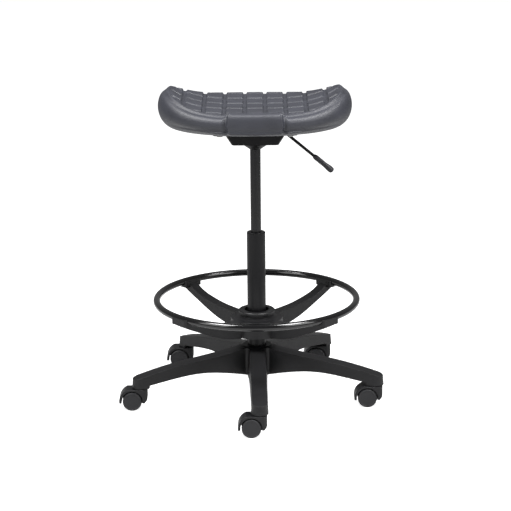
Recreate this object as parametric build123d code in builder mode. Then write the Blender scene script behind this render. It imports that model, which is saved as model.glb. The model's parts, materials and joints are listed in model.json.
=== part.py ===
"""Height-adjustable drafting stool: moulded saddle seat, gas lift, foot ring and five-star caster base.

Millimetres, +Z up. The origin is on the column's axis at the floor, -Y is the seat's front,
and +X is the side of the height lever.
"""
import os
from math import cos, hypot, radians, sin

from build123d import *

os.makedirs("parts", exist_ok=True)

fit_gap = 0.05        # radial clearance of a running fit
body_gap = 0.3        # clearance between curved faces of pieces that move apart

# Star base
arm_count = 5
base_turn = 1.0       # the front arm stands this many degrees towards +X
front_arm = -90 + base_turn
stem_circle = 330.0   # radius on which the casters' stems stand
hub_radius = 43.0
hub_bottom = 62.0
hub_top = 145.0
arm_root_half = 29.0  # half width of an arm's foot at the hub
socket_radius = 22.5  # radius of an arm's round end
socket_bottom = 59.4
arm_draft = 5.0       # degrees of draft on the arms' sides
arm_wall = 4.0
base_skin = 4.5       # thickness of the arms' roof
socket_inner = 313.0  # radius where an arm's belly drops to its socket
rib_thick = 2.4

# Column and gas lift
column_radius = 25.0
column_wall = 1.5
column_bottom = 60.0
column_top = 456.0
column_inner = column_radius - column_wall
bush_length = 96.0
cylinder_radius = 14.0
cylinder_wall = 2.0
cylinder_bottom = 360.0
cylinder_top = 722.0
cylinder_inner = cylinder_radius - cylinder_wall
rod_radius = 5.0
rod_bottom = 53.0
rod_top = 385.0
clip_bottom = 55.5
clip_thick = 1.5
release_radius = 3.5
release_top = 726.7   # just under the lever
taper_low = 690.0     # where the cylinder's top taper starts
taper_top_radius = 13.4

# Casters
wheel_radius = 25.5
caster_trail = 22.0   # from the stem's axis back to the axle
hood_outer = 35.0
hood_inner = 28.5
hood_top = 57.8
hood_half = 23.2      # half of the hood's width
web_half = 7.0        # half of the web between the twin wheels
wheel_inner_face = 7.5
wheel_outer_face = 24.0
axle_radius = 3.0
axle_half = 21.5
stem_radius = 5.5
stem_foot = 34.0      # floor of the hood's stem bore

# Foot ring
ring_turn = -1.5
ring_radius = 268.5   # to the middle of the tube
ring_tube = 9.5
ring_height = 271.0
spoke_count = 4
spoke_half = 14.5
spider_bottom = 174.0
spider_top = 243.0
collar_radius = 49.0
neck_radius = 45.0     # waist between the collar and the flange
flange_radius = 70.0
spoke_fillet = 58.0   # rounding between neighbouring spokes, seen from above
cradle_bottom = 256.0
cradle_half = 29.0
cradle_inner = 252.0
cradle_outer = 282.0
cradle_top = 274.0
screw_seat = 252.0    # height under which a ring screw's head sits

# Seat mechanism
plate_half_x = 109.0
plate_half_y = 116.0
plate_corner = 8.0
plate_thick = 3.5
plate_top = 745.5
plate_bottom = plate_top - plate_thick
pan_bottom = 701.0
pan_low_x = 62.0
pan_high_x = 87.0
pan_low_y = 40.0
pan_high_y = 52.0
pan_wall = 2.5
boss_radius = 17.5
boss_bottom = 684.0
cone_radius = 38.0    # where the socket's cone meets the pan
bolt_x = 92.0
bolt_y = 88.0
bolt_radius = 4.0
lever_radius = 4.0
lever_height = 731.0
lever_pivot_x = 45.0
pivot_radius = 2.5
lever_slot_low = 714.0
lever_slot_high = 739.0
grip_start = (155.0, 663.0)
grip_end = (205.0, 621.0)

# Seat
seat_half_x = 255.0
seat_half_y = 188.0
seat_square = 2.3     # exponent of the seat's rounded-square outline
saddle_height = 803.0
wing_x = 220.0
wing_rise = 45.0
board_half_x = 140.0
board_half_y = 118.0
board_thick = 12.0


def polar(radius, angle):
    return (radius * cos(radians(angle)), radius * sin(radians(angle)))


def upright(x, y, z=0.0):
    """A plane whose X is the row's X, whose Y is the row's Z, and which looks towards the front."""
    return Plane(origin=(x, y, z), x_dir=(1, 0, 0), z_dir=(0, -1, 0))


def ring_solid(outer, inner, low, high, label):
    with BuildPart() as ring:
        with BuildSketch(Plane.XY.offset(low)):
            Circle(outer)
            Circle(inner, mode=Mode.SUBTRACT)
        extrude(amount=high - low)
    ring.part.label = label
    export_step(ring.part, f"parts/{label}.step")
    return ring.part


def star_outline(inset):
    """The star seen from above: five tapering arms with round ends and hollows between them."""
    end = socket_radius - inset
    root = arm_root_half - inset
    with BuildSketch() as star:
        Circle(hub_radius + 8 - inset)
        for arm in range(arm_count):
            angle = front_arm + arm * 360 / arm_count
            with BuildSketch(mode=Mode.PRIVATE) as strip:
                Polygon((0, -root), (stem_circle, -end), (stem_circle, end), (0, root), align=None)
                with Locations((stem_circle, 0)):
                    Circle(end)
            add(strip.sketch, rotation=angle)
    return star.sketch


def base_profile(top_drop, bottom_lift):
    """Half of the base's cross-section, radius against height, between its skins."""
    with BuildSketch(Plane.XZ) as side:
        with BuildLine():
            crown = Spline((44, hub_top - 3 - top_drop), (120, 127 - top_drop), (219, 113 - top_drop),
                           (300, 97 - top_drop), (353, 83 - top_drop))
            belly = Spline((socket_inner - 3, 67.5 + bottom_lift), (240, 79 + bottom_lift),
                           (170, 85.5 + bottom_lift), (92, 78 + bottom_lift), (44, 68 + bottom_lift))
            foot = socket_bottom + bottom_lift
            Polyline(crown @ 1, (353, foot), (socket_inner, foot), belly @ 0)
            Polyline(belly @ 1, (30, hub_bottom + bottom_lift), (0, hub_bottom + bottom_lift),
                     (0, hub_top - top_drop), (38, hub_top - top_drop), crown @ 0)
        make_face()
    return side.sketch


def make_star_base():
    with BuildPart() as star_base:
        with BuildSketch(Plane.XY.offset(socket_bottom)):
            add(star_outline(0))
        extrude(amount=hub_top - socket_bottom, taper=arm_draft)
        with BuildSketch(Plane.XZ):
            add(base_profile(0, 0))
        revolve(axis=Axis.Z, mode=Mode.INTERSECT)

        # the open underside, roofed by the skin
        with BuildPart(mode=Mode.PRIVATE) as hollow:
            with BuildSketch(Plane.XY.offset(socket_bottom)):
                add(star_outline(arm_wall))
                Circle(hub_radius + 4, mode=Mode.SUBTRACT)
                with PolarLocations(stem_circle, arm_count, start_angle=front_arm):
                    Circle(13, mode=Mode.SUBTRACT)
            extrude(amount=hub_top - socket_bottom, taper=arm_draft)
            with BuildSketch(Plane.XZ):
                add(base_profile(base_skin, -20))
            revolve(axis=Axis.Z, mode=Mode.INTERSECT)
        add(hollow.part, mode=Mode.SUBTRACT)

        # crossed ribs under the skin
        with BuildPart(mode=Mode.PRIVATE) as ribs:
            with BuildSketch(Plane.XY.offset(socket_bottom)):
                add(star_outline(arm_wall - 1))
            extrude(amount=hub_top - socket_bottom, taper=arm_draft)
            with BuildSketch(Plane.XY.offset(socket_bottom)):
                for arm in range(arm_count):
                    angle = front_arm + arm * 360 / arm_count
                    for step in range(5):
                        centre = polar(82 + 50 * step, angle)
                        for lean in (-48, 48):
                            with Locations(Location((centre[0], centre[1], 0), (0, 0, angle + lean))):
                                Rectangle(66, rib_thick)
            extrude(amount=hub_top - socket_bottom, mode=Mode.INTERSECT)
            with BuildSketch(Plane.XZ):
                add(base_profile(base_skin - 1, 5))
            revolve(axis=Axis.Z, mode=Mode.INTERSECT)
        add(ribs.part)

        # bores for the column and the caster sockets
        with Locations((0, 0, hub_bottom)):
            Cylinder(column_radius, 2 * hub_top, mode=Mode.SUBTRACT)
        with Locations((0, 0, socket_bottom)):
            with PolarLocations(stem_circle, arm_count, start_angle=front_arm):
                Cylinder(8, 48, mode=Mode.SUBTRACT)
    star_base.part.label = "star_base"
    export_step(star_base.part, "parts/star_base.step")


def make_column():
    with BuildPart() as column_tube:
        with BuildSketch(Plane.XY.offset(column_bottom)):
            Circle(column_radius)
        extrude(amount=column_top - column_bottom)
        with BuildSketch(Plane.XY.offset(column_bottom + 4)):
            Circle(column_inner)
        extrude(amount=column_top, mode=Mode.SUBTRACT)
        Hole(rod_radius + 0.6)
        fillet(column_tube.edges().filter_by(GeomType.CIRCLE).sort_by(Axis.Z)[-1], column_wall * 0.6)
    column_tube.part.label = "column_tube"
    export_step(column_tube.part, "parts/column_tube.step")

    # The lipped plastic bush that guides the cylinder
    with BuildPart() as guide_bush:
        with BuildSketch(Plane.XY.offset(column_top - bush_length)):
            Circle(column_inner)
        extrude(amount=bush_length)
        with BuildSketch(Plane.XY.offset(column_top)):
            Circle(column_radius - 1)
        extrude(amount=2)
        fillet(guide_bush.edges().sort_by(Axis.Z)[-1], 1.2)
        with BuildSketch(Plane.XY.offset(column_top - bush_length)):
            Circle(cylinder_radius + fit_gap)
        extrude(amount=bush_length + 2, mode=Mode.SUBTRACT)
    guide_bush.part.label = "guide_bush"
    export_step(guide_bush.part, "parts/guide_bush.step")


def make_gas_lift():
    floor = column_bottom + 4
    race = 2.6
    ball = 2.4
    ring_solid(17, 5.6, floor, floor + race, "bearing_lower_race")
    middle = floor + race + ball
    with BuildPart() as bearing_balls:
        with Locations((0, 0, middle)):
            with PolarLocations(11.3, 9):
                Sphere(ball)
    bearing_balls.part.label = "bearing_balls"
    export_step(bearing_balls.part, "parts/bearing_balls.step")
    with BuildPart() as bearing_cage:
        with BuildSketch(Plane.XY.offset(middle - 0.8)):
            Circle(16)
            Circle(6.4, mode=Mode.SUBTRACT)
            with PolarLocations(11.3, 9):
                Circle(ball + 0.1, mode=Mode.SUBTRACT)
        extrude(amount=1.6)
    bearing_cage.part.label = "bearing_cage"
    export_step(bearing_cage.part, "parts/bearing_cage.step")
    upper = middle + ball + 0.1
    ring_solid(17, rod_radius, upper, upper + race, "bearing_upper_race")
    ring_solid(11, rod_radius, upper + race, upper + race + 18, "rubber_buffer")

    with BuildPart() as piston_rod:
        with BuildSketch(Plane.XY.offset(rod_bottom)):
            Circle(rod_radius)
        extrude(amount=rod_top - rod_bottom)
        chamfer(piston_rod.edges().filter_by(GeomType.CIRCLE), 0.8)
        with BuildSketch(Plane.XY.offset(clip_bottom)):
            Circle(rod_radius + 1)
            Circle(rod_radius - 1, mode=Mode.SUBTRACT)
        extrude(amount=clip_thick, mode=Mode.SUBTRACT)
    piston_rod.part.label = "piston_rod"
    export_step(piston_rod.part, "parts/piston_rod.step")

    # The wire clip that keeps the rod's end in the column's floor
    with BuildPart() as rod_clip:
        with BuildSketch(Plane.XY.offset(clip_bottom)):
            Circle(rod_radius + 3)
            Circle(rod_radius - 1, mode=Mode.SUBTRACT)
            with Locations((0, -rod_radius)):
                Rectangle(2 * (rod_radius - 1.6), 2 * rod_radius, mode=Mode.SUBTRACT)
        extrude(amount=clip_thick)
    rod_clip.part.label = "rod_clip"
    export_step(rod_clip.part, "parts/rod_clip.step")
    ring_solid(12, rod_radius, clip_bottom + clip_thick, clip_bottom + clip_thick + 1.6, "rod_washer")

    with BuildPart() as piston:
        with BuildSketch(Plane.XZ):
            with BuildLine():
                outer = cylinder_inner - fit_gap
                Polyline((rod_radius, 376), (outer, 376), (outer, 379), (outer - 2, 379), (outer - 2, 382),
                         (outer, 382), (outer, rod_top), (rod_radius, rod_top), close=True)
            make_face()
        revolve(axis=Axis.Z)
    piston.part.label = "piston"
    export_step(piston.part, "parts/piston.step")
    ring_solid(cylinder_inner - fit_gap, cylinder_inner - fit_gap - 2, 379, 382, "piston_seal")

    # Cylinder: a tube whose top tapers into the seat's socket
    with BuildPart() as gas_cylinder:
        with BuildSketch(Plane.XZ):
            with BuildLine():
                Polyline((cylinder_inner, cylinder_bottom), (cylinder_radius, cylinder_bottom),
                         (cylinder_radius, taper_low), (taper_top_radius, cylinder_top),
                         (5, cylinder_top), (5, cylinder_top - 3), (cylinder_inner, cylinder_top - 3),
                         close=True)
            make_face()
        revolve(axis=Axis.Z)
    gas_cylinder.part.label = "gas_cylinder"
    export_step(gas_cylinder.part, "parts/gas_cylinder.step")
    ring_solid(cylinder_inner, rod_radius + fit_gap, cylinder_bottom, cylinder_bottom + 9, "rod_guide")
    ring_solid(cylinder_inner, rod_radius + fit_gap, cylinder_bottom + 9, cylinder_bottom + 14, "rod_seal")
    valve_low = cylinder_top - 30
    ring_solid(cylinder_inner, release_radius + fit_gap, valve_low, cylinder_top - 3, "valve_housing")

    with BuildPart() as release_pin:
        with BuildSketch(Plane.XY.offset(cylinder_top - 24)):
            Circle(release_radius)
        extrude(amount=release_top - cylinder_top + 24)
        fillet(release_pin.edges().filter_by(GeomType.CIRCLE).sort_by(Axis.Z)[-1], 1.5)
    release_pin.part.label = "release_pin"
    export_step(release_pin.part, "parts/release_pin.step")


def make_caster(name, angle):
    """One twin-wheel caster. It trails towards -X and its axle runs along Y."""
    x, y = polar(stem_circle, angle)
    axle_x = x - caster_trail
    front = upright(axle_x, y)

    with BuildPart() as hood:
        with BuildSketch(front):
            with Locations((0, wheel_radius)):
                Circle(hood_outer)
            with BuildLine():
                right = caster_trail + 19
                Polyline((0, hood_top), (right, hood_top), (right, 34))
                RadiusArc((right, 34), (right - 10, 22), 12)
                Polyline((right - 10, 22), (0, 22), (0, hood_top))
            make_face()
            with Locations((0, hood_top + 50)):
                Rectangle(200, 100, mode=Mode.SUBTRACT)
            with Locations((0, 21 - 50)):
                Rectangle(200, 100, mode=Mode.SUBTRACT)
            with Locations((0, wheel_radius)):
                Circle(hood_inner, mode=Mode.SUBTRACT)
        extrude(amount=hood_half, both=True)
        rims = hood.edges().filter_by(lambda e: abs(e.center().Y - y) > hood_half - 0.1
                                      and e.center().Z > 34
                                      and hypot(e.center().X - axle_x, e.center().Z - wheel_radius) > 31)
        fillet(rims, 1.6)
        # rounded in plan round the stem
        plan_length = hood_outer + 20 + caster_trail + 19
        with BuildSketch(Plane(origin=(axle_x - hood_outer - 20, y, 0))):
            with Locations((plan_length / 2, 0)):
                RectangleRounded(plan_length, 2 * hood_half, 13)
        extrude(amount=100, mode=Mode.INTERSECT)
        # web between the wheels, carrying the axle and the stem
        with BuildSketch(front):
            with Locations((0, wheel_radius)):
                Circle(hood_inner + 1)
            with Locations((0, wheel_radius - 9 - 50)):
                Rectangle(200, 100, mode=Mode.SUBTRACT)
            with Locations((-50 - 9, wheel_radius - 9)):
                Rectangle(100, 30, mode=Mode.SUBTRACT)
        extrude(amount=web_half, both=True)
        with BuildSketch(front):
            with Locations((0, wheel_radius)):
                Circle(axle_radius)
        extrude(amount=hood_half, both=True, mode=Mode.SUBTRACT)
        with BuildSketch(Plane(origin=(x, y, stem_foot))):
            Circle(stem_radius + fit_gap)
        extrude(amount=60, mode=Mode.SUBTRACT)
    hood.part.label = f"caster_{name}_hood"
    export_step(hood.part, f"parts/caster_{name}_hood.step")

    with BuildPart() as axle:
        with BuildSketch(upright(axle_x, y, wheel_radius)):
            Circle(axle_radius)
        extrude(amount=axle_half, both=True)
        chamfer(axle.edges().filter_by(GeomType.CIRCLE), 0.5)
    axle.part.label = f"caster_{name}_axle"
    export_step(axle.part, f"parts/caster_{name}_axle.step")

    for side, sign in (("left", 1), ("right", -1)):
        with BuildPart() as wheel:
            section = Plane(origin=(axle_x, y, wheel_radius), x_dir=(0, sign, 0), z_dir=(1, 0, 0))
            with BuildSketch(section):
                with BuildLine():
                    face = wheel_outer_face
                    bore = axle_radius + fit_gap
                    Polyline((wheel_inner_face, bore), (wheel_inner_face, wheel_radius - 2),
                             (wheel_inner_face + 2, wheel_radius), (face - 4, wheel_radius))
                    RadiusArc((face - 4, wheel_radius), (face, wheel_radius - 4), 4)
                    Polyline((face, wheel_radius - 4), (face - 1, wheel_radius - 5.5), (face - 1, 0),
                             (axle_half + 0.3, 0), (axle_half + 0.3, bore), (wheel_inner_face, bore))
                make_face()
            revolve(axis=Axis((axle_x, y, wheel_radius), (0, 1, 0)))
        wheel.part.label = f"caster_{name}_wheel_{side}"
        export_step(wheel.part, f"parts/caster_{name}_wheel_{side}.step")


def make_stems():
    with BuildPart() as caster_stems:
        with BuildSketch(Plane.XY.offset(stem_foot + 0.5)):
            with PolarLocations(stem_circle, arm_count, start_angle=front_arm):
                Circle(stem_radius)
        extrude(amount=socket_bottom - stem_foot)
        with BuildSketch(Plane.XY.offset(hood_top + 0.5)):
            with PolarLocations(stem_circle, arm_count, start_angle=front_arm):
                Circle(9)
        extrude(amount=socket_bottom - hood_top - 0.5)
        with BuildSketch(Plane.XY.offset(socket_bottom)):
            with PolarLocations(stem_circle, arm_count, start_angle=front_arm):
                Circle(4.4)
        extrude(amount=20)
        with BuildSketch(Plane.XY.offset(socket_bottom + 18)):
            with PolarLocations(stem_circle, arm_count, start_angle=front_arm):
                Circle(5.2)
        extrude(amount=3)
    caster_stems.part.label = "caster_stems"
    export_step(caster_stems.part, "parts/caster_stems.step")

    with BuildPart() as grip_rings:
        with BuildSketch(Plane.XY.offset(socket_bottom + 3)):
            with PolarLocations(stem_circle, arm_count, start_angle=front_arm):
                Circle(5.6)
                Circle(4.5, mode=Mode.SUBTRACT)
            with PolarLocations(stem_circle + 5, arm_count, start_angle=front_arm):
                Rectangle(4, 1.6, mode=Mode.SUBTRACT)
        extrude(amount=14)
    grip_rings.part.label = "grip_rings"
    export_step(grip_rings.part, "parts/grip_rings.step")

    with BuildPart() as stem_sockets:
        with BuildSketch(Plane.XY.offset(socket_bottom)):
            with PolarLocations(stem_circle, arm_count, start_angle=front_arm):
                Circle(8)
                Circle(5.7, mode=Mode.SUBTRACT)
        extrude(amount=22)
    stem_sockets.part.label = "stem_sockets"
    export_step(stem_sockets.part, "parts/stem_sockets.step")


def sleeve_outer(height):
    """Outer radius of the clamp sleeve's taper at a height."""
    return 30.0 - 1.5 * (height - spider_bottom) / (spider_top - spider_bottom)


def make_clamp_sleeve():
    low = spider_bottom + 2
    high = spider_top - 8
    slit = 2.0
    with BuildPart() as clamp_sleeve:
        with BuildSketch(Plane.XZ):
            with BuildLine():
                bore = column_radius + fit_gap
                Polyline((bore, low), (sleeve_outer(low), low), (sleeve_outer(high), high), (bore, high),
                         close=True)
            make_face()
        revolve(axis=Axis.Z)
        with BuildSketch(Plane.XY.offset(low + 18)):
            with PolarLocations(column_radius + 3, 3, start_angle=30):
                Rectangle(16, slit)
        extrude(amount=high, mode=Mode.SUBTRACT)
    clamp_sleeve.part.label = "clamp_sleeve"
    export_step(clamp_sleeve.part, "parts/clamp_sleeve.step")


def make_foot_ring():
    spokes = [45 + ring_turn + 90 * k for k in range(spoke_count)]
    with BuildPart() as ring_spider:
        with BuildSketch(Plane.XY.offset(spider_bottom)) as plan:
            for angle in spokes:
                with BuildSketch(mode=Mode.PRIVATE) as strip:
                    with Locations((cradle_outer / 2, 0)):
                        Rectangle(cradle_outer, 2 * spoke_half)
                add(strip.sketch, rotation=angle)
            fillet(plan.vertices().filter_by(lambda v: hypot(v.X, v.Y) < 60), spoke_fillet)
            Circle(flange_radius)
        extrude(amount=cradle_top - spider_bottom)
        with BuildSketch(Plane.XZ):
            with BuildLine():
                belly = Spline((46, spider_bottom), (100, 182), (145, 193.5), (189, 211), (220, 225),
                               (256, 242), (cradle_outer, 256))
                crown = Spline((cradle_inner, 262), (222, 245), (190, 236), (150, 228), (110, 224),
                               (76, 222))
                Polyline(belly @ 1, (cradle_outer, cradle_top), (cradle_inner, cradle_top), crown @ 0)
                Polyline(crown @ 1, (56, 223), (neck_radius, 227), (neck_radius, spider_top - 10),
                         (collar_radius, spider_top - 8), (collar_radius, spider_top - 2),
                         (collar_radius - 2, spider_top), (0, spider_top), (0, spider_bottom), belly @ 0)
            make_face()
        revolve(axis=Axis.Z, mode=Mode.INTERSECT)
        # pockets that lighten the spokes from below, with cross ribs left between them
        with BuildPart(mode=Mode.PRIVATE) as pockets:
            with BuildSketch(Plane.XY.offset(spider_bottom - 1)):
                for angle in spokes:
                    for reach in (102, 139, 176, 213):
                        middle = polar(reach, angle)
                        with Locations(Location((middle[0], middle[1], 0), (0, 0, angle))):
                            RectangleRounded(34, 2 * spoke_half - 7, 3)
            extrude(amount=cradle_top - spider_bottom)
            with BuildSketch(Plane.XZ):
                with BuildLine():
                    roof = Spline((250, 249), (222, 241), (190, 232), (150, 224), (110, 220), (78, 218))
                    Polyline(roof @ 1, (78, spider_bottom - 1), (250, spider_bottom - 1), roof @ 0)
                make_face()
            revolve(axis=Axis.Z, mode=Mode.INTERSECT)
        add(pockets.part, mode=Mode.SUBTRACT)
        # cradles for the ring
        with BuildSketch(Plane.XY.offset(cradle_bottom)):
            for angle in spokes:
                middle = polar((cradle_inner + cradle_outer) / 2, angle)
                with Locations(Location((middle[0], middle[1], 0), (0, 0, angle))):
                    RectangleRounded(cradle_outer - cradle_inner, 2 * cradle_half, 7)
        extrude(amount=cradle_top - cradle_bottom)
        # bore: tapered on the sleeve, wider above it
        with BuildSketch(Plane.XZ):
            with BuildLine():
                low, high = spider_bottom - 1, spider_top - 14
                Polyline((0, low), (sleeve_outer(low) + 0.1, low), (sleeve_outer(high) + 0.1, high),
                         (33, high + 2), (33, spider_top + 1), (0, spider_top + 1), close=True)
            make_face()
        revolve(axis=Axis.Z, mode=Mode.SUBTRACT)
        with Locations((0, 0, ring_height)):
            Torus(ring_radius, ring_tube, mode=Mode.SUBTRACT)
        # holes for the screws, sunk for their heads
        with PolarLocations(ring_radius, spoke_count, start_angle=spokes[0]):
            Cylinder(2.5, 600, mode=Mode.SUBTRACT)
            Cylinder(5.5, 2 * screw_seat, mode=Mode.SUBTRACT)
    ring_spider.part.label = "ring_spider"
    export_step(ring_spider.part, "parts/ring_spider.step")

    with BuildPart() as foot_ring:
        with Locations((0, 0, ring_height)):
            Torus(ring_radius, ring_tube)
            Torus(ring_radius, ring_tube - 1.5, mode=Mode.SUBTRACT)
        with BuildSketch(Plane.XY.offset(ring_height - 2 * ring_tube)):
            with PolarLocations(ring_radius, spoke_count, start_angle=spokes[0]):
                Circle(2.5)
        extrude(amount=2 * ring_tube, mode=Mode.SUBTRACT)
    foot_ring.part.label = "foot_ring"
    export_step(foot_ring.part, "parts/foot_ring.step")

    with BuildPart() as ring_screws:
        with BuildSketch(Plane.XY.offset(screw_seat - 3)):
            with PolarLocations(ring_radius, spoke_count, start_angle=spokes[0]):
                Circle(5)
        extrude(amount=3)
        with BuildSketch(Plane.XY.offset(screw_seat - 3)):
            with PolarLocations(ring_radius, spoke_count, start_angle=spokes[0]):
                RegularPolygon(2.4, 6)
        extrude(amount=2, mode=Mode.SUBTRACT)
        with BuildSketch(Plane.XY.offset(screw_seat)):
            with PolarLocations(ring_radius, spoke_count, start_angle=spokes[0]):
                Circle(2.5)
        extrude(amount=ring_height - ring_tube + 4 - screw_seat)
    ring_screws.part.label = "ring_screws"
    export_step(ring_screws.part, "parts/ring_screws.step")


def make_mechanism():
    with BuildPart() as seat_plate:
        with BuildSketch(Plane.XY.offset(plate_bottom)):
            RectangleRounded(2 * plate_half_x, 2 * plate_half_y, plate_corner)
            with GridLocations(2 * bolt_x, 2 * bolt_y, 2, 2):
                Circle(bolt_radius + 0.3, mode=Mode.SUBTRACT)
        extrude(amount=plate_thick)
    seat_plate.part.label = "seat_plate"
    export_step(seat_plate.part, "parts/seat_plate.step")

    # Pressed pan that stiffens the plate and carries the socket
    with BuildPart() as mechanism_pan:
        with BuildSketch(Plane.XY.offset(pan_bottom)):
            RectangleRounded(2 * pan_low_x, 2 * pan_low_y, 10)
        with BuildSketch(Plane.XY.offset(plate_bottom)):
            RectangleRounded(2 * pan_high_x, 2 * pan_high_y, 14)
        loft()
        with BuildSketch(Plane.XY.offset(pan_bottom + pan_wall)):
            RectangleRounded(2 * (pan_low_x - 1), 2 * (pan_low_y - 1.5), 9)
        with BuildSketch(Plane.XY.offset(plate_bottom)):
            RectangleRounded(2 * (pan_high_x - 3), 2 * (pan_high_y - 2.5), 12)
        loft(mode=Mode.SUBTRACT)
        with Locations((0, 0, pan_bottom)):
            Cylinder(boss_radius, 20, mode=Mode.SUBTRACT)
        with Locations((pan_high_x - 12, 0, (lever_slot_low + lever_slot_high) / 2)):
            Box(40, 14, lever_slot_high - lever_slot_low, mode=Mode.SUBTRACT)
    mechanism_pan.part.label = "mechanism_pan"
    export_step(mechanism_pan.part, "parts/mechanism_pan.step")

    with BuildPart() as taper_socket:
        with BuildSketch(Plane.XZ):
            with BuildLine():
                Polyline((cylinder_radius, boss_bottom), (cylinder_radius + 1.6, boss_bottom),
                         (cone_radius, pan_bottom - 1.5), (cone_radius, pan_bottom),
                         (boss_radius, pan_bottom), (boss_radius, cylinder_top + 2),
                         (taper_top_radius, cylinder_top + 2), (taper_top_radius, cylinder_top),
                         (cylinder_radius, taper_low), close=True)
            make_face()
        revolve(axis=Axis.Z)
    taper_socket.part.label = "taper_socket"
    export_step(taper_socket.part, "parts/taper_socket.step")

    cheek_gap = 5.6
    cheek = 2.0
    with BuildPart() as lever_bracket:
        with BuildSketch(Plane.XZ.offset(-cheek_gap)):
            with Locations((lever_pivot_x, (lever_height - 9 + plate_bottom) / 2)):
                Rectangle(18, plate_bottom - lever_height + 9)
            with Locations((lever_pivot_x, lever_height)):
                Circle(pivot_radius, mode=Mode.SUBTRACT)
        extrude(amount=-cheek)
        mirror(about=Plane.XZ)
    lever_bracket.part.label = "lever_bracket"
    export_step(lever_bracket.part, "parts/lever_bracket.step")

    reach = cheek_gap + cheek
    with BuildPart() as lever_pivot:
        with BuildSketch(upright(lever_pivot_x, 0, lever_height)):
            Circle(pivot_radius)
        extrude(amount=reach, both=True)
        # a head on each end
        with BuildSketch(upright(lever_pivot_x, -reach, lever_height)):
            Circle(4)
        extrude(amount=1.5)
        mirror(about=Plane.XZ)
    lever_pivot.part.label = "lever_pivot"
    export_step(lever_pivot.part, "parts/lever_pivot.step")

    bolts = GridLocations(2 * bolt_x, 2 * bolt_y, 2, 2)
    washer = 1.6
    with BuildPart() as bolt_washers:
        with BuildSketch(Plane.XY.offset(plate_bottom - washer)):
            with bolts:
                Circle(8)
                Circle(bolt_radius, mode=Mode.SUBTRACT)
        extrude(amount=washer)
    bolt_washers.part.label = "bolt_washers"
    export_step(bolt_washers.part, "parts/bolt_washers.step")
    with BuildPart() as seat_bolts:
        with BuildSketch(Plane.XY.offset(plate_bottom - washer - 5.3)):
            with bolts:
                RegularPolygon(6.5, 6, major_radius=False)
        extrude(amount=5.3)
        with BuildSketch(Plane.XY.offset(plate_bottom - washer)):
            with bolts:
                Circle(bolt_radius)
        extrude(amount=washer + plate_thick + board_thick - 0.5)
    seat_bolts.part.label = "seat_bolts"
    export_step(seat_bolts.part, "parts/seat_bolts.step")
    with BuildPart() as seat_inserts:
        with BuildSketch(Plane.XY.offset(plate_top + 1)):
            with bolts:
                Circle(5.2)
                Circle(bolt_radius, mode=Mode.SUBTRACT)
        extrude(amount=board_thick - 1)
        with BuildSketch(Plane.XY.offset(plate_top + board_thick)):
            with bolts:
                Circle(10)
                Circle(bolt_radius, mode=Mode.SUBTRACT)
        extrude(amount=1.4)
    seat_inserts.part.label = "seat_inserts"
    export_step(seat_inserts.part, "parts/seat_inserts.step")


def make_lever():
    start = Vector(grip_start[0], 0, grip_start[1])
    end = Vector(grip_end[0], 0, grip_end[1])
    along = (end - start).normalized()
    grip_length = (end - start).length
    # the slope's line carried back up to the level stretch
    bend_x = start.X + along.X * (lever_height - start.Z) / along.Z
    tip = start + along * (grip_length - 14)
    with BuildPart() as lever_rod:
        with BuildLine():
            FilletPolyline((-8, 0, lever_height), (bend_x, 0, lever_height), tuple(tip), radius=18)
        with BuildSketch(Plane(origin=(-8, 0, lever_height), x_dir=(0, 1, 0), z_dir=(1, 0, 0))):
            Circle(lever_radius)
        sweep()
        with BuildSketch(upright(lever_pivot_x, 0, lever_height)):
            Circle(7)
        extrude(amount=5.2, both=True)
        with BuildSketch(upright(lever_pivot_x, 0, lever_height)):
            Circle(pivot_radius + fit_gap)
        extrude(amount=8, both=True, mode=Mode.SUBTRACT)
    lever_rod.part.label = "lever_rod"
    export_step(lever_rod.part, "parts/lever_rod.step")

    slope = Plane(origin=start, x_dir=along, z_dir=(0, 1, 0))
    with BuildPart() as lever_grip:
        with BuildSketch(slope):
            with BuildLine():
                Polyline((0, 0), (0, 5.5), (1.5, 6.5), (grip_length - 22, 6.8), (grip_length - 12, 8),
                         (grip_length - 3, 8))
                RadiusArc((grip_length - 3, 8), (grip_length, 5), 3)
                Polyline((grip_length, 5), (grip_length, 0), (0, 0))
            make_face()
        revolve(axis=Axis(start, along))
        with BuildSketch(Plane(origin=start, x_dir=(0, 1, 0), z_dir=along)):
            Circle(lever_radius)
        extrude(amount=grip_length - 14, mode=Mode.SUBTRACT)
    lever_grip.part.label = "lever_grip"
    export_step(lever_grip.part, "parts/lever_grip.step")


def seat_half_depth(x):
    """Half of the seat's depth at a distance from its middle, from its rounded-square outline."""
    return seat_half_y * (1 - abs(x / seat_half_x) ** seat_square) ** (1 / seat_square)


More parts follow.
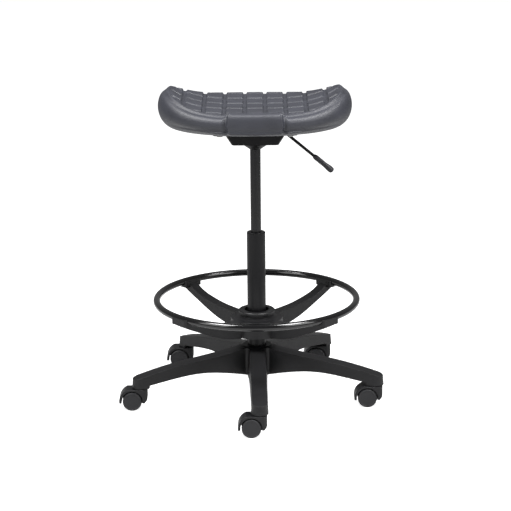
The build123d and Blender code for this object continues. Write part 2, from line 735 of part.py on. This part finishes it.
def make_seat():
    with BuildPart() as seat_board:
        with BuildSketch(Plane.XY.offset(plate_top)):
            RectangleRounded(2 * board_half_x, 2 * board_half_y, 40)
            with GridLocations(2 * bolt_x, 2 * bolt_y, 2, 2):
                Circle(5.2, mode=Mode.SUBTRACT)
        extrude(amount=board_thick)
    seat_board.part.label = "seat_board"
    export_step(seat_board.part, "parts/seat_board.step")

    # Saddle-shaped pad: the wings rise, then roll over to thin side edges
    rise = [(0, 0, 0), (90, 0, 1), (150, 0, 11), (190, 0.5, 26), (wing_x, 3, wing_rise), (238, 12, 38),
            (248, 27, 24), (253.5, 40, 9)]
    stations = rise[::-1] + [(-x, low, high) for x, low, high in rise[1:]]
    with BuildPart() as seat_pad:
        for x, low, high in stations:
            bottom = plate_top + low
            top = saddle_height + 4 + high
            half = seat_half_depth(x)
            with BuildSketch(Plane.YZ.offset(x)):
                with Locations((0, (bottom + top) / 2)):
                    RectangleRounded(2 * half, top - bottom, min(20, 0.45 * (top - bottom)))
        loft(ruled=True)
        with BuildSketch(Plane.XY.offset(plate_top - 1)):
            RectangleRounded(2 * (board_half_x + 0.3), 2 * (board_half_y + 0.3), 40)
        extrude(amount=board_thick + 3, mode=Mode.SUBTRACT)
    seat_pad.part.label = "seat_pad"
    export_step(seat_pad.part, "parts/seat_pad.step")


make_column()
make_gas_lift()
make_stems()
for position, name in enumerate(("front", "front_right", "rear_right", "rear_left", "front_left")):
    make_caster(name, front_arm + position * 360 / arm_count)
make_clamp_sleeve()
make_foot_ring()
make_mechanism()
make_lever()
make_seat()
make_star_base()
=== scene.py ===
import json
import math
import bpy
from mathutils import Matrix, Vector


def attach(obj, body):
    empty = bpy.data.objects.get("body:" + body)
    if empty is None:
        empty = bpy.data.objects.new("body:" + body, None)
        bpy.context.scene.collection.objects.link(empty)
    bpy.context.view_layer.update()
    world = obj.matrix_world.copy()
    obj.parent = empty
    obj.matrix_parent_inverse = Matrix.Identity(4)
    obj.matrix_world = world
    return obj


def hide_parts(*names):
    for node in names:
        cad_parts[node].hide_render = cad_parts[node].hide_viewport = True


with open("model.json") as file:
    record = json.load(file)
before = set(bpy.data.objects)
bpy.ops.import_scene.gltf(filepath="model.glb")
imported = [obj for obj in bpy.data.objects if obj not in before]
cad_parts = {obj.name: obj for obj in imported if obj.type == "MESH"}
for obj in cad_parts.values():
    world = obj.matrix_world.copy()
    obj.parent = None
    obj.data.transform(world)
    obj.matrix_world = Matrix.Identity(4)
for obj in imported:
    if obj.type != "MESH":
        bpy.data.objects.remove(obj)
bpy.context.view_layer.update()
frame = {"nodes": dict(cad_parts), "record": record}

nodes = frame["nodes"]


def smooth(low, high, value):
    # 0 below low, 1 above high, eased between; low may be the larger
    t = min(max((value - low) / (high - low), 0.0), 1.0)
    return t * t * (3 - 2 * t)


def linear(hexColour, alpha=1.0):
    # sRGB hex to the linear colour that sockets take
    channels = [int(hexColour[i:i + 2], 16) / 255 for i in (1, 3, 5)]
    return [c / 12.92 if c <= 0.04045 else ((c + 0.055) / 1.055) ** 2.4 for c in channels] + [alpha]


def addNode(tree, kind, settings=None, **sockets):
    # settings are the node's own properties; sockets are values, or a node or an output to link;
    # i0, i1 and so on are sockets by number
    node = tree.nodes.new(kind)
    for name, value in (settings or {}).items():
        setattr(node, name, value)
    for name, value in sockets.items():
        isNumber = name[0] == "i" and name[1:].isdigit()
        socket = node.inputs[int(name[1:]) if isNumber else name.replace("_", " ")]
        if isinstance(value, bpy.types.Node):
            value = value.outputs[0]
        if isinstance(value, bpy.types.NodeSocket):
            tree.links.new(value, socket)
        else:
            socket.default_value = value
    return node


def startMaterial(name):
    material = bpy.data.materials.new(name)
    material.use_nodes = True
    tree = material.node_tree
    tree.nodes.clear()
    shader = addNode(tree, "ShaderNodeBsdfPrincipled")
    output = addNode(tree, "ShaderNodeOutputMaterial", Surface=shader.outputs[0])
    output.location = (400, 0)
    place = addNode(tree, "ShaderNodeTexCoord").outputs["Object"]
    return material, tree, shader, place


def tone(tree, factor, dark, light, low=0.3, high=0.7):
    # a colour that goes from dark to light while the factor goes from low to high
    share = addNode(tree, "ShaderNodeMapRange", Value=factor, From_Min=low, From_Max=high)
    mix = addNode(tree, "ShaderNodeMix", {"data_type": "RGBA"}, i0=share, i6=linear(dark), i7=linear(light))
    return mix.outputs[2]


def grainBump(tree, place, scale, strength, distance, edge=0.0, detail=3.0):
    # bump from noise of that scale (cycles per metre), over edges rounded by edge metres
    grain = addNode(tree, "ShaderNodeTexNoise", Vector=place, Scale=scale, Detail=detail, Roughness=0.55)
    bump = addNode(tree, "ShaderNodeBump", Strength=strength, Distance=distance, Height=grain.outputs["Fac"])
    if edge:
        rounded = addNode(tree, "ShaderNodeBevel", {"samples": 4}, Radius=edge)
        tree.links.new(rounded.outputs["Normal"], bump.inputs["Normal"])
    return bump.outputs["Normal"], grain.outputs["Fac"]


def seatSkin():
    # Self-skinned polyurethane foam, moulded in a leather-grained tool: a matt, slightly greasy dark grey
    # whose grain cells are about 1 mm, drawn 1.6 mm wide so that they show.
    material, tree, shader, place = startMaterial("polyurethaneMouldedSkin")
    cells = addNode(tree, "ShaderNodeTexVoronoi", {"feature": "DISTANCE_TO_EDGE"}, Vector=place, Scale=620.0)
    cracks = addNode(tree, "ShaderNodeMapRange", Value=cells.outputs["Distance"], From_Max=0.25)
    patches = addNode(tree, "ShaderNodeTexNoise", Vector=place, Scale=14.0, Detail=4.0)
    pores = addNode(tree, "ShaderNodeTexNoise", Vector=place, Scale=900.0, Detail=2.0)
    height = addNode(tree, "ShaderNodeMath", {"operation": "MULTIPLY_ADD"}, i0=pores.outputs["Fac"], i1=0.5,
                     i2=cracks.outputs["Result"])
    bump = addNode(tree, "ShaderNodeBump", Strength=0.4, Distance=0.00025, Height=height.outputs[0])
    colour = tone(tree, patches.outputs["Fac"], "#26272d", "#2d2e35")
    tree.links.new(colour, shader.inputs["Base Color"])
    rough = addNode(tree, "ShaderNodeMapRange", Value=patches, To_Min=0.43, To_Max=0.52)
    tree.links.new(rough.outputs[0], shader.inputs["Roughness"])
    tree.links.new(bump.outputs["Normal"], shader.inputs["Normal"])
    shader.inputs["IOR"].default_value = 1.5
    shader.inputs["Specular IOR Level"].default_value = 0.45
    return material


def mouldedPlastic(name, dark, light, roughness, grain=1400.0, edge=0.0008, strength=0.25, specular=0.28):
    # Glass-filled nylon, or another plastic or rubber, from a spark-eroded tool: near-black and matt, with an
    # even 0.7 mm grain and soft edges
    material, tree, shader, place = startMaterial(name)
    normal, fine = grainBump(tree, place, grain, strength, 0.00012, edge)
    patches = addNode(tree, "ShaderNodeTexNoise", Vector=place, Scale=9.0, Detail=5.0)
    tree.links.new(tone(tree, patches.outputs["Fac"], dark, light), shader.inputs["Base Color"])
    rough = addNode(tree, "ShaderNodeMapRange", Value=fine, To_Min=roughness - 0.05, To_Max=roughness + 0.07)
    tree.links.new(rough.outputs[0], shader.inputs["Roughness"])
    tree.links.new(normal, shader.inputs["Normal"])
    shader.inputs["IOR"].default_value = 1.53
    shader.inputs["Specular IOR Level"].default_value = specular
    return material


def blackPaint(name, dark, light, roughness, peel=180.0, strength=0.08, coat=0.0, specular=0.35):
    # Stoved black paint or powder coat on steel: an orange-peel ripple 5 mm across and small dull patches
    material, tree, shader, place = startMaterial(name)
    normal = grainBump(tree, place, peel, strength, 0.0003, 0.0006, 1.0)[0]
    patches = addNode(tree, "ShaderNodeTexNoise", Vector=place, Scale=22.0, Detail=6.0)
    tree.links.new(tone(tree, patches.outputs["Fac"], dark, light), shader.inputs["Base Color"])
    rough = addNode(tree, "ShaderNodeMapRange", Value=patches, To_Min=roughness - 0.04,
                    To_Max=roughness + 0.05)
    tree.links.new(rough.outputs[0], shader.inputs["Roughness"])
    tree.links.new(normal, shader.inputs["Normal"])
    shader.inputs["IOR"].default_value = 1.5
    shader.inputs["Specular IOR Level"].default_value = specular
    shader.inputs["Coat Weight"].default_value = coat
    shader.inputs["Coat Roughness"].default_value = 0.08
    return material


def bareSteel(name, colour, roughness, scratches=500.0):
    # Steel, zinc plated or ground: fine turning marks round the axis and faint blotches
    material, tree, shader, place = startMaterial(name)
    marks = addNode(tree, "ShaderNodeMapping", Vector=place, Scale=(1.0, 1.0, 14.0))
    normal, fine = grainBump(tree, marks.outputs["Vector"], scratches, 0.12, 0.0001, 0.0004)
    tree.links.new(tone(tree, fine, colour, "#d4d4d0"), shader.inputs["Base Color"])
    rough = addNode(tree, "ShaderNodeMapRange", Value=fine, To_Min=roughness - 0.05, To_Max=roughness + 0.1)
    tree.links.new(rough.outputs[0], shader.inputs["Roughness"])
    tree.links.new(normal, shader.inputs["Normal"])
    shader.inputs["Metallic"].default_value = 1.0
    return material


def plywood():
    # Birch plywood: plies 1.5 mm thick at the edge and a pale figured face
    material, tree, shader, place = startMaterial("birchPlywoodPressed")
    plies = addNode(tree, "ShaderNodeTexWave", {"bands_direction": "Z"}, Vector=place, Scale=210.0,
                    Distortion=0.4)
    figure = addNode(tree, "ShaderNodeMapping", Vector=place, Scale=(6.0, 60.0, 1.0))
    grain = addNode(tree, "ShaderNodeTexNoise", Vector=figure.outputs["Vector"], Scale=3.0, Detail=6.0)
    both = addNode(tree, "ShaderNodeMath", {"operation": "MULTIPLY"}, i0=plies.outputs["Fac"],
                   i1=grain.outputs["Fac"])
    tree.links.new(tone(tree, both.outputs[0], "#8a6440", "#c9a878", 0.1, 0.5), shader.inputs["Base Color"])
    shader.inputs["Roughness"].default_value = 0.65
    return material


def pieceFrom(name, vertices, faces, material):
    mesh = bpy.data.meshes.new(name)
    mesh.from_pydata(vertices, [], faces)
    mesh.materials.append(material)
    mesh.polygons.foreach_set("use_smooth", [True] * len(mesh.polygons))
    mesh.update()
    piece = bpy.data.objects.new(name, mesh)
    bpy.context.scene.collection.objects.link(piece)
    return piece


def runTree(piece, tree, values):
    # evaluates a Geometry Nodes tree on a piece and keeps the result as its plain mesh
    modifier = piece.modifiers.new(tree.name, "NODES")
    modifier.node_group = tree
    for item in tree.interface.items_tree:
        if item.in_out == "INPUT" and item.name in values:
            modifier[item.identifier] = values[item.name]
    depsgraph = bpy.context.evaluated_depsgraph_get()
    made = bpy.data.meshes.new_from_object(piece.evaluated_get(depsgraph))
    made.name = piece.name
    piece.modifiers.clear()
    piece.data = made
    return piece


def startTree(name, inputs):
    tree = bpy.data.node_groups.new(name, "GeometryNodeTree")
    tree.interface.new_socket("Geometry", in_out="INPUT", socket_type="NodeSocketGeometry")
    for label, kind in inputs.items():
        tree.interface.new_socket(label, in_out="INPUT", socket_type="NodeSocket" + kind)
    tree.interface.new_socket("Geometry", in_out="OUTPUT", socket_type="NodeSocketGeometry")
    return tree, addNode(tree, "NodeGroupInput").outputs


def endTree(tree, geometry, material):
    real = addNode(tree, "GeometryNodeRealizeInstances", Geometry=geometry)
    dressed = addNode(tree, "GeometryNodeSetMaterial", Geometry=real.outputs[0], Material=material)
    addNode(tree, "NodeGroupOutput", Geometry=dressed.outputs[0])


seat = {
    # outline and saddle
    "halfWidth": 0.255, "halfDepth": 0.188, "squareness": 2.3,
    "topMiddle": 0.803, "wingRise": 0.041, "wingAt": 0.222, "wingPower": 4.0, "rearRise": 0.002,
    # panel at the middle of the front
    "noseRise": 0.008, "noseHalf": 0.068, "noseProud": 0.004, "noseInset": 0.017, "nosePower": 3.4,
    # bolster, where a power of 2 is round and a higher one is squarer
    "crestInset": 0.026, "sideHeight": 0.803, "frontHeight": 0.785, "bolsterPower": 1.95,
    "lowerPower": 2.0, "frontLowerPower": 4.4,
    "coveDepth": 0.0038, "coveAt": 0.0085, "foldHeight": 0.0035, "lipHeight": 0.0010, "pinchDepth": 0.0045,
    # underside, which starts at the foot, a share of the way out from the middle
    "underside": 0.7455, "edgeRise": 0.0080, "cornerRise": 0.0050, "footSide": 0.80, "footFront": 0.70,
    # crease above the lower band
    "bandHeight": 0.0125, "noseBandHeight": 0.013, "creaseDepth": 0.005,
    # blocks; the third numbers keep height out of the pattern
    "blockSize": (0.0450, 0.058, 10.0), "blockPitch": (0.0535, 0.068, 1.0), "blockShift": (0.0, 0.018, 0.0),
    "blockHeight": 0.0050, "blockCorner": 0.006, "blockEdge": 0.0019,
    "columns": 256, "rows": 188, "upperRings": 18, "lowerRings": 30, "underRings": 5,
}


def bell(value, middle, width):
    # 1 at the middle, falling smoothly to 0 on both sides
    return math.exp(-((value - middle) / width) ** 2)


def noseMask(x, y):
    # 1 on the panel at the middle of the front
    return smooth(seat["noseHalf"] + 0.007, seat["noseHalf"] - 0.001, abs(x)) * smooth(-0.09, -0.14, y)


def rearMask(y):
    # 1 along the rear, where the blocks run over the edge
    return smooth(0.03, 0.11, y)


def seatTop(x, y):
    # height of the groove bottoms of the top: a saddle with a small rise at the nose and at the rear
    wing = seat["wingRise"] * min(abs(x) / seat["wingAt"], 1.0) ** seat["wingPower"]
    rear = seat["rearRise"] * smooth(0.05, 0.125, y)
    nose = seat["noseRise"] * smooth(-0.09, -0.165, y)
    nose *= smooth(seat["noseHalf"] + 0.012, seat["noseHalf"] - 0.006, abs(x))
    return seat["topMiddle"] - seat["blockHeight"] + wing + rear + nose


def seatEdge(u, v):
    # point of the seat's outline in a direction, how far from the middle its crest is (0 to 1),
    # and how much of the nose panel it is
    power = seat["squareness"]
    length = (abs(u) ** power + abs(v) ** power) ** (1 / power)
    edge = Vector((seat["halfWidth"] * u / length, seat["halfDepth"] * v / length))
    nose = noseMask(edge.x, edge.y)
    inset = seat["crestInset"] * (1 - nose) + seat["noseInset"] * nose
    return edge, 1 - inset / edge.length, nose


def sidePoint(u, v, ring):
    # point of a ring in a direction, and how much of the block pattern it takes
    upper, lower = seat["upperRings"], seat["lowerRings"]
    edge, crest, nose = seatEdge(u, v)
    crestPoint = edge * crest
    side = abs(edge.x) / seat["halfWidth"]
    sideness = side ** 3
    front = smooth(-0.1, -0.15, edge.y)
    rear = rearMask(crestPoint.y)
    waist = seat["frontHeight"] + (seat["sideHeight"] - seat["frontHeight"]) * sideness
    top = seatTop(crestPoint.x, crestPoint.y) + (seat["blockHeight"] + seat["lipHeight"]) * (1 - rear)
    foot = seat["footFront"] + (seat["footSide"] - seat["footFront"]) * sideness
    if ring <= upper:
        # from the crest out to the waist, with a cove just outside the crest
        turn = math.radians(90 * ring / upper)
        power = seat["bolsterPower"] + (seat["nosePower"] - seat["bolsterPower"]) * nose
        reach = crest + (1 - crest) * math.sin(turn) ** (2 / power)
        z = waist + (top - waist) * max(math.cos(turn), 0) ** (2 / power)
        fromCrest = (reach - crest) * edge.length
        cove = bell(fromCrest, seat["coveAt"], 0.0038 if fromCrest < seat["coveAt"] else 0.0085)
        z -= seat["coveDepth"] * cove * (1 - nose) * (1 - rear)
        fold = bell(abs(edge.x), seat["noseHalf"] + 0.002, 0.004) * front
        z += seat["foldHeight"] * fold * bell(fromCrest, 0.008, 0.006)
    elif ring <= upper + lower:
        # from the waist down and in to the foot
        turn = math.radians(90 * (ring - upper) / lower)
        squarer = (seat["frontLowerPower"] - seat["lowerPower"]) * (1 - sideness) ** 2.2
        power = seat["lowerPower"] + squarer
        reach = foot + (1 - foot) * max(math.cos(turn), 0) ** (2 / power)
        edgeRise = seat["edgeRise"] * (1 - smooth(0.85, 1.0, side))
        edgeRise += seat["cornerRise"] * smooth(0.35, 0.7, side) * smooth(1.0, 0.8, side)
        sole = seat["underside"] + edgeRise * smooth(foot, 0.97, reach)
        z = waist - (waist - sole) * math.sin(turn) ** (2 / power)
    else:
        reach = foot * (1 - 0.12 * (ring - upper - lower))
        z = seat["underside"]
    point = edge * reach
    outward = edge.normalized()
    # the nose panel stands proud, with a pinch on each side of it
    down = smooth(top, top - 0.012, z)
    low = smooth(seat["underside"] + 0.002, seat["underside"] + 0.010, z)
    point += outward * seat["noseProud"] * nose * low
    pinch = bell(abs(edge.x), seat["noseHalf"] + 0.010, 0.005) * front
    point -= outward * seat["pinchDepth"] * pinch * down * low
    # the crease above the lower band fades towards the sides and is half as deep on the nose
    bandTop = seat["underside"] + seat["edgeRise"] + seat["bandHeight"] * (1 - nose)
    bandTop += seat["noseBandHeight"] * nose
    along = 1 - smooth(0.75, 0.97, side)
    crease = bell(z, bandTop, 0.0028 if z < bandTop else 0.008)
    point -= outward * seat["creaseDepth"] * (1 - 0.5 * nose) * crease * along * low
    return (point.x, point.y, z), rear * smooth(0.62, 0.3, ring / upper)


def seatMesh():
    columns, rows = seat["columns"], seat["rows"]
    vertices, faces, pattern = [], [], []
    for j in range(rows + 1):
        for i in range(columns + 1):
            u, v = 2 * i / columns - 1, 2 * j / rows - 1
            reach = max(abs(u), abs(v))
            if reach < 1e-9:  # the middle has no direction
                vertices.append((0, 0, seatTop(0, 0)))
                pattern.append(1.0)
                continue
            edge, crest, nose = seatEdge(u, v)
            x, y = edge * reach * crest
            inside = (1 - reach) * crest * edge.length
            rim = smooth(0.0075, 0.0035, inside) * (1 - rearMask(y))
            vertices.append((x, y, seatTop(x, y) + (seat["blockHeight"] + seat["lipHeight"]) * rim))
            pattern.append(max(smooth(0.0045, 0.0085, inside), rearMask(y)))
    width = columns + 1
    for j in range(rows):
        for i in range(columns):
            a = j * width + i
            faces.append((a, a + 1, a + width + 1, a + width))
    # the top's rim, anticlockwise from the front left corner
    loop = [(i, 0) for i in range(columns)] + [(columns, j) for j in range(rows)]
    loop += [(i, rows) for i in range(columns, 0, -1)] + [(0, j) for j in range(rows, 0, -1)]
    previous = [j * width + i for i, j in loop]
    for ring in range(1, seat["upperRings"] + seat["lowerRings"] + seat["underRings"] + 1):
        current = []
        for i, j in loop:
            point, share = sidePoint(2 * i / columns - 1, 2 * j / rows - 1, ring)
            current.append(len(vertices))
            vertices.append(point)
            pattern.append(share)
        for k in range(len(loop)):
            n = (k + 1) % len(loop)
            faces.append((previous[k], current[k], current[n], previous[n]))
        previous = current
    faces.append(tuple(reversed(previous)))
    return vertices, faces, pattern


def seatBlocksTree(material):
    # raises the rounded blocks of the top out of its groove bottoms
    tree, given = startTree("seatBlocks", {"Size": "Vector", "Pitch": "Vector", "Shift": "Vector",
                                           "Height": "Float", "Corner": "Float", "Edge": "Float"})
    vectors, numbers = "ShaderNodeVectorMath", "ShaderNodeMath"
    # each point's place in its own block, measured from the block's middle
    place = addNode(tree, vectors, {"operation": "ADD"}, i0=addNode(tree, "GeometryNodeInputPosition"),
                    i1=given["Shift"])
    high = addNode(tree, vectors, {"operation": "SCALE"}, Vector=given["Pitch"], Scale=0.5)
    low = addNode(tree, vectors, {"operation": "SCALE"}, Vector=given["Pitch"], Scale=-0.5)
    within = addNode(tree, vectors, {"operation": "WRAP"}, i0=place, i1=high, i2=low)
    fromMiddle = addNode(tree, vectors, {"operation": "ABSOLUTE"}, i0=within)
    # how far it is outside the block, whose corners are rounded
    half = addNode(tree, vectors, {"operation": "SCALE"}, Vector=given["Size"], Scale=0.5)
    straight = addNode(tree, vectors, {"operation": "SUBTRACT"}, i0=half, i1=given["Corner"])
    beyond = addNode(tree, vectors, {"operation": "SUBTRACT"}, i0=fromMiddle, i1=straight)
    outside = addNode(tree, vectors, {"operation": "MAXIMUM"}, i0=beyond, i1=(0, 0, 0))
    reach = addNode(tree, vectors, {"operation": "LENGTH"}, i0=outside)
    away = addNode(tree, numbers, {"operation": "SUBTRACT"}, i0=reach.outputs["Value"], i1=given["Corner"])
    bevel = addNode(tree, numbers, {"operation": "MULTIPLY"}, i0=given["Edge"], i1=-1.0)
    raised = addNode(tree, "ShaderNodeMapRange", {"interpolation_type": "SMOOTHSTEP"}, Value=away,
                     From_Min=bevel, From_Max=0.0, To_Min=1.0, To_Max=0.0)
    pattern = addNode(tree, "GeometryNodeInputNamedAttribute", Name="pattern")
    share = addNode(tree, numbers, {"operation": "MULTIPLY"}, i0=raised, i1=pattern)
    lift = addNode(tree, numbers, {"operation": "MULTIPLY"}, i0=share, i1=given["Height"])
    offset = addNode(tree, vectors, {"operation": "SCALE"}, Vector=addNode(tree, "GeometryNodeInputNormal"),
                     Scale=lift)
    moved = addNode(tree, "GeometryNodeSetPosition", Geometry=given["Geometry"], Offset=offset)
    endTree(tree, moved.outputs[0], material)
    return tree


def makeSeat(material):
    vertices, faces, pattern = seatMesh()
    piece = pieceFrom("seatShell", vertices, faces, material)
    piece.data.attributes.new("pattern", "FLOAT", "POINT").data.foreach_set("value", pattern)
    runTree(piece, seatBlocksTree(material), {
        "Size": seat["blockSize"], "Pitch": seat["blockPitch"], "Shift": seat["blockShift"],
        "Height": seat["blockHeight"], "Corner": seat["blockCorner"], "Edge": seat["blockEdge"]})
    piece.data.attributes.remove(piece.data.attributes["pattern"])
    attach(piece, "seat")
    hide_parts("seat_pad")


grip = {"from": (0.155, 0.663), "to": (0.205, 0.621), "radius": 0.0066, "endRadius": 0.0082, "ridges": 9,
        "ridgePitch": 0.0046, "ridgeRadius": 0.0010, "firstRidge": 0.006, "lip": 0.0015, "widensFrom": 0.55,
        "widensTo": 0.8, "domeFrom": 0.9, "bodyRings": 40, "sides": 40}


def makeGrip(material):
    # slim hand grip on the lever's end: a turned body that widens to a round end, with ridges round it
    start = Vector((grip["from"][0], 0, grip["from"][1]))
    end = Vector((grip["to"][0], 0, grip["to"][1]))
    length = (end - start).length
    turn = (end - start).to_track_quat("Z", "Y").to_matrix().to_4x4()
    place = Matrix.Translation(start) @ turn
    stations = []
    for k in range(grip["bodyRings"] + 1):
        s = k / grip["bodyRings"]
        widening = smooth(grip["widensFrom"], grip["widensTo"], s)
        radius = grip["radius"] + (grip["endRadius"] - grip["radius"]) * widening
        lip = grip["lip"] * smooth(0.06, 0.0, s)
        intoDome = max((s - grip["domeFrom"]) / (1 - grip["domeFrom"]), 0)
        # the last ring stays open, and is closed by a flat face
        dome = math.sqrt(max(1 - intoDome ** 2, 0)) if k < grip["bodyRings"] else 0.12
        stations.append((s * length, (radius - lip) * (0.35 + 0.65 * dome)))
    vertices, faces = [], []
    sides = grip["sides"]
    for z, radius in stations:
        for k in range(sides):
            angle = 2 * math.pi * k / sides
            vertices.append(place @ Vector((radius * math.cos(angle), radius * math.sin(angle), z)))
    for ring in range(len(stations) - 1):
        for k in range(sides):
            a, b = ring * sides + k, ring * sides + (k + 1) % sides
            faces.append((a, b, b + sides, a + sides))
    faces.append(tuple(reversed(range(sides))))
    last = (len(stations) - 1) * sides
    faces.append(tuple(range(last, last + sides)))
    body = pieceFrom("gripBody", vertices, faces, material)
    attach(body, "lever")
    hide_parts("lever_grip")

    tree, given = startTree("gripRidges", {"Count": "Int", "Pitch": "Float", "First": "Float",
                                           "Ring": "Float", "Bead": "Float"})
    first = addNode(tree, "ShaderNodeCombineXYZ", Z=given["First"])
    step = addNode(tree, "ShaderNodeCombineXYZ", Z=given["Pitch"])
    line = addNode(tree, "GeometryNodeMeshLine", Count=given["Count"], Start_Location=first, Offset=step)
    hoop = addNode(tree, "GeometryNodeCurvePrimitiveCircle", Resolution=sides, Radius=given["Ring"])
    bead = addNode(tree, "GeometryNodeCurvePrimitiveCircle", Resolution=8, Radius=given["Bead"])
    ridge = addNode(tree, "GeometryNodeCurveToMesh", Curve=hoop, Profile_Curve=bead)
    ridges = addNode(tree, "GeometryNodeInstanceOnPoints", Points=line, Instance=ridge)
    turned = addNode(tree, "GeometryNodeTransform", Geometry=ridges, Translation=start,
                     Rotation=place.to_euler())
    endTree(tree, turned.outputs[0], material)
    rings = pieceFrom("gripRidges", [], [], material)
    sunk = 0.0002  # how far the beads' middles lie inside the body
    runTree(rings, tree, {"Count": grip["ridges"], "Pitch": grip["ridgePitch"], "First": grip["firstRidge"],
                          "Ring": grip["radius"] - sunk, "Bead": grip["ridgeRadius"]})
    rings.data.polygons.foreach_set("use_smooth", [True] * len(rings.data.polygons))
    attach(rings, "lever")


def dressFrame():
    # one finish for each of the frame's parts
    nylon = mouldedPlastic("glassFilledNylonMoulded", "#0a0a0b", "#101012", 0.44, edge=0.0016, specular=0.30)
    casterNylon = mouldedPlastic("nylonCasterMoulded", "#0c0c0e", "#131315", 0.42)
    wheelNylon = mouldedPlastic("nylonWheelMoulded", "#1c1c1e", "#232325", 0.5, strength=0.15)
    acetal = mouldedPlastic("acetalBushMoulded", "#0d0d0f", "#141416", 0.4)
    finishes = {
        "seat_skin": seatSkin(),
        "base_nylon": nylon, "caster_nylon": casterNylon, "wheel_nylon": wheelNylon, "bush_plastic": acetal,
        "column_paint": blackPaint("columnSatinPowderCoat", "#08080a", "#0d0d0f", 0.36, specular=0.24),
        "cylinder_paint": blackPaint("cylinderBlackLacquer", "#0c0c0e", "#121214", 0.28),
        "ring_paint": blackPaint("footRingGlossPowderCoat", "#060607", "#0b0b0c", 0.13, coat=0.3,
                                 specular=0.4),
        "plate_paint": blackPaint("pressedSteelBlackEnamel", "#060607", "#0b0b0c", 0.45, specular=0.12),
        "grip_plastic": mouldedPlastic("gripPolypropyleneMoulded", "#1d1d20", "#242428", 0.45),
        "zinc_steel": bareSteel("zincPlatedSteel", "#8f9092", 0.35),
        "bright_steel": bareSteel("groundSteel", "#a9aaac", 0.18),
        "buffer_rubber": mouldedPlastic("nitrileRubberMoulded", "#121212", "#1a1a1a", 0.7),
        "board_wood": plywood(),
    }
    slotOf = {part["node"]: part["material_slot"] for part in frame["record"]["subparts"]}
    for name, node in nodes.items():
        node.data.materials.clear()
        node.data.materials.append(finishes[slotOf[name]])
    return finishes


stage = {
    "floorHalf": 60.0, "floorColour": "#c4c4c4", "floorGlow": 0.84, "worldStrength": 0.24, "aim": (0, 0, 0.5),
    # name, place, size and power of each lamp
    "lamps": (("leftSoftbox", (-2.3, -2.0, 2.0), (1.9, 1.9), 45.0),
              ("rightSoftbox", (2.3, -2.0, 2.0), (1.9, 1.9), 55.0),
              ("leftOverhead", (-1.25, -0.7, 2.9), (1.0, 1.0), 105.0),
              ("rightOverhead", (1.25, -0.7, 2.9), (1.0, 1.0), 105.0),
              ("topSoftbox", (0.0, 0.5, 3.2), (3.0, 1.0), 15.0)),
}


def makeStage():
    bpy.context.scene.view_settings.view_transform = "Standard"
    # plain pale floor, wide enough to fill the view
    half = stage["floorHalf"]
    corners = [(-half, -half, 0), (half, -half, 0), (half, half, 0), (-half, half, 0)]
    material, tree, shader, place = startMaterial("paintedFloorMatt")
    floor = pieceFrom("paleFloor", corners, [(0, 1, 2, 3)], material)
    shader.inputs["Base Color"].default_value = linear(stage["floorColour"])
    shader.inputs["Roughness"].default_value = 0.8
    # seen as an even white, while the light it throws back up stays low
    seen = addNode(tree, "ShaderNodeLightPath").outputs["Is Camera Ray"]
    glow = addNode(tree, "ShaderNodeMath", {"operation": "MULTIPLY"}, i0=seen, i1=stage["floorGlow"])
    shader.inputs["Emission Color"].default_value = linear("#ffffff")
    tree.links.new(glow.outputs[0], shader.inputs["Emission Strength"])
    world = bpy.data.worlds.new("studioLight")
    world.use_nodes = True
    world.node_tree.nodes["Background"].inputs["Color"].default_value = linear("#ffffff")
    world.node_tree.nodes["Background"].inputs["Strength"].default_value = stage["worldStrength"]
    bpy.context.scene.world = world
    for name, place, size, power in stage["lamps"]:
        light = bpy.data.lights.new(name, "AREA")
        light.shape = "RECTANGLE"
        light.size, light.size_y = size
        light.energy = power
        lamp = bpy.data.objects.new(name, light)
        lamp.location = place
        lamp.rotation_euler = (Vector(stage["aim"]) - Vector(place)).to_track_quat("-Z", "Y").to_euler()
        bpy.context.scene.collection.objects.link(lamp)


# long lens, a little above the seat and looking down 15 degrees
studio = {"place": (0.0, -5.4838, 1.862), "lens": 149.33, "shift": -0.0014, "down": 15.011, "roll": -0.51}


def makeCamera():
    view = bpy.data.cameras.new("studioCamera")
    view.lens = studio["lens"]
    view.sensor_width = 36.0
    view.shift_x = studio["shift"]
    camera = bpy.data.objects.new("studioCamera", view)
    camera.location = studio["place"]
    level = Matrix.Rotation(math.radians(90 - studio["down"]), 4, "X")
    camera.rotation_euler = (level @ Matrix.Rotation(math.radians(studio["roll"]), 4, "Z")).to_euler()
    bpy.context.scene.collection.objects.link(camera)
    bpy.context.scene.camera = camera


finishes = dressFrame()
print("frame dressed:", len(nodes), "nodes")
makeSeat(finishes["seat_skin"])
print("seat made")
makeGrip(finishes["grip_plastic"])
print("grip made")
makeStage()
makeCamera()
print("stage and camera set")
